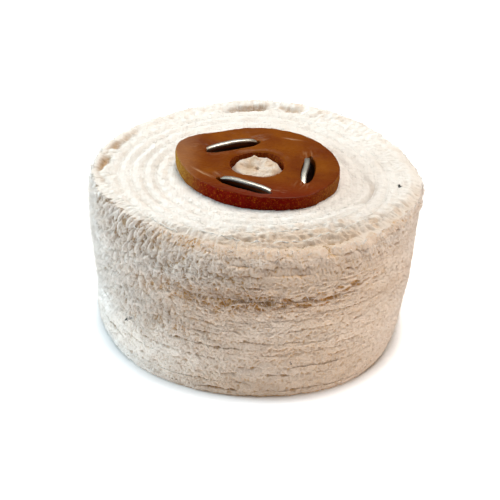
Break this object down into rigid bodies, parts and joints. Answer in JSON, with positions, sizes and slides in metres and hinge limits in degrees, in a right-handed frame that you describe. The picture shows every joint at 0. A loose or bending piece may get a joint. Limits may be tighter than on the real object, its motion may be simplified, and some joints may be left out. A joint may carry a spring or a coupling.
{
  "type": "polishing wheel",
  "caption": "Thick round polishing wheel of stacked, sewn cotton folds, clamped by wire staples between two leather centre washers, with a small centre hole for a taper spindle.",
  "frame": {"origin": "on the wheel's axis, in the plane of the back leather washer's outer face, which the wheel lies on", "axes": "+Z along the wheel's axis, from the back washer to the front washer, up as the wheel lies in the picture; +X to the right and +Y away from the viewer"},
  "size_m": [0.1, 0.1, 0.0534],
  "materials": {
    "cotton": "matt, napped",
    "stitch_thread": "matt",
    "leather": "satin",
    "staple_wire": "satin"
  },
  "bodies": {
    "root": {"cotton_fold_01": "cotton", "cotton_fold_02": "cotton", "cotton_fold_03": "cotton", "cotton_fold_04": "cotton", "cotton_fold_05": "cotton", "cotton_fold_06": "cotton", "cotton_fold_07": "cotton", "cotton_fold_08": "cotton", "cotton_fold_09": "cotton", "cotton_fold_10": "cotton", "cotton_fold_11": "cotton", "cotton_fold_12": "cotton", "cotton_fold_13": "cotton", "cotton_fold_14": "cotton", "cotton_fold_15": "cotton", "cotton_fold_16": "cotton", "cotton_fold_17": "cotton", "cotton_fold_18": "cotton", "cotton_fold_19": "cotton", "cotton_fold_20": "cotton", "cotton_fold_21": "cotton", "cotton_fold_22": "cotton", "cotton_fold_23": "cotton", "cotton_fold_24": "cotton", "stitch_thread_1": "stitch_thread", "stitch_thread_2": "stitch_thread", "stitch_thread_3": "stitch_thread", "back_leather_washer": "leather", "front_leather_washer": "leather", "wire_staple_1": "staple_wire", "wire_staple_2": "staple_wire", "wire_staple_3": "staple_wire"}
  },
  "joints": []
}
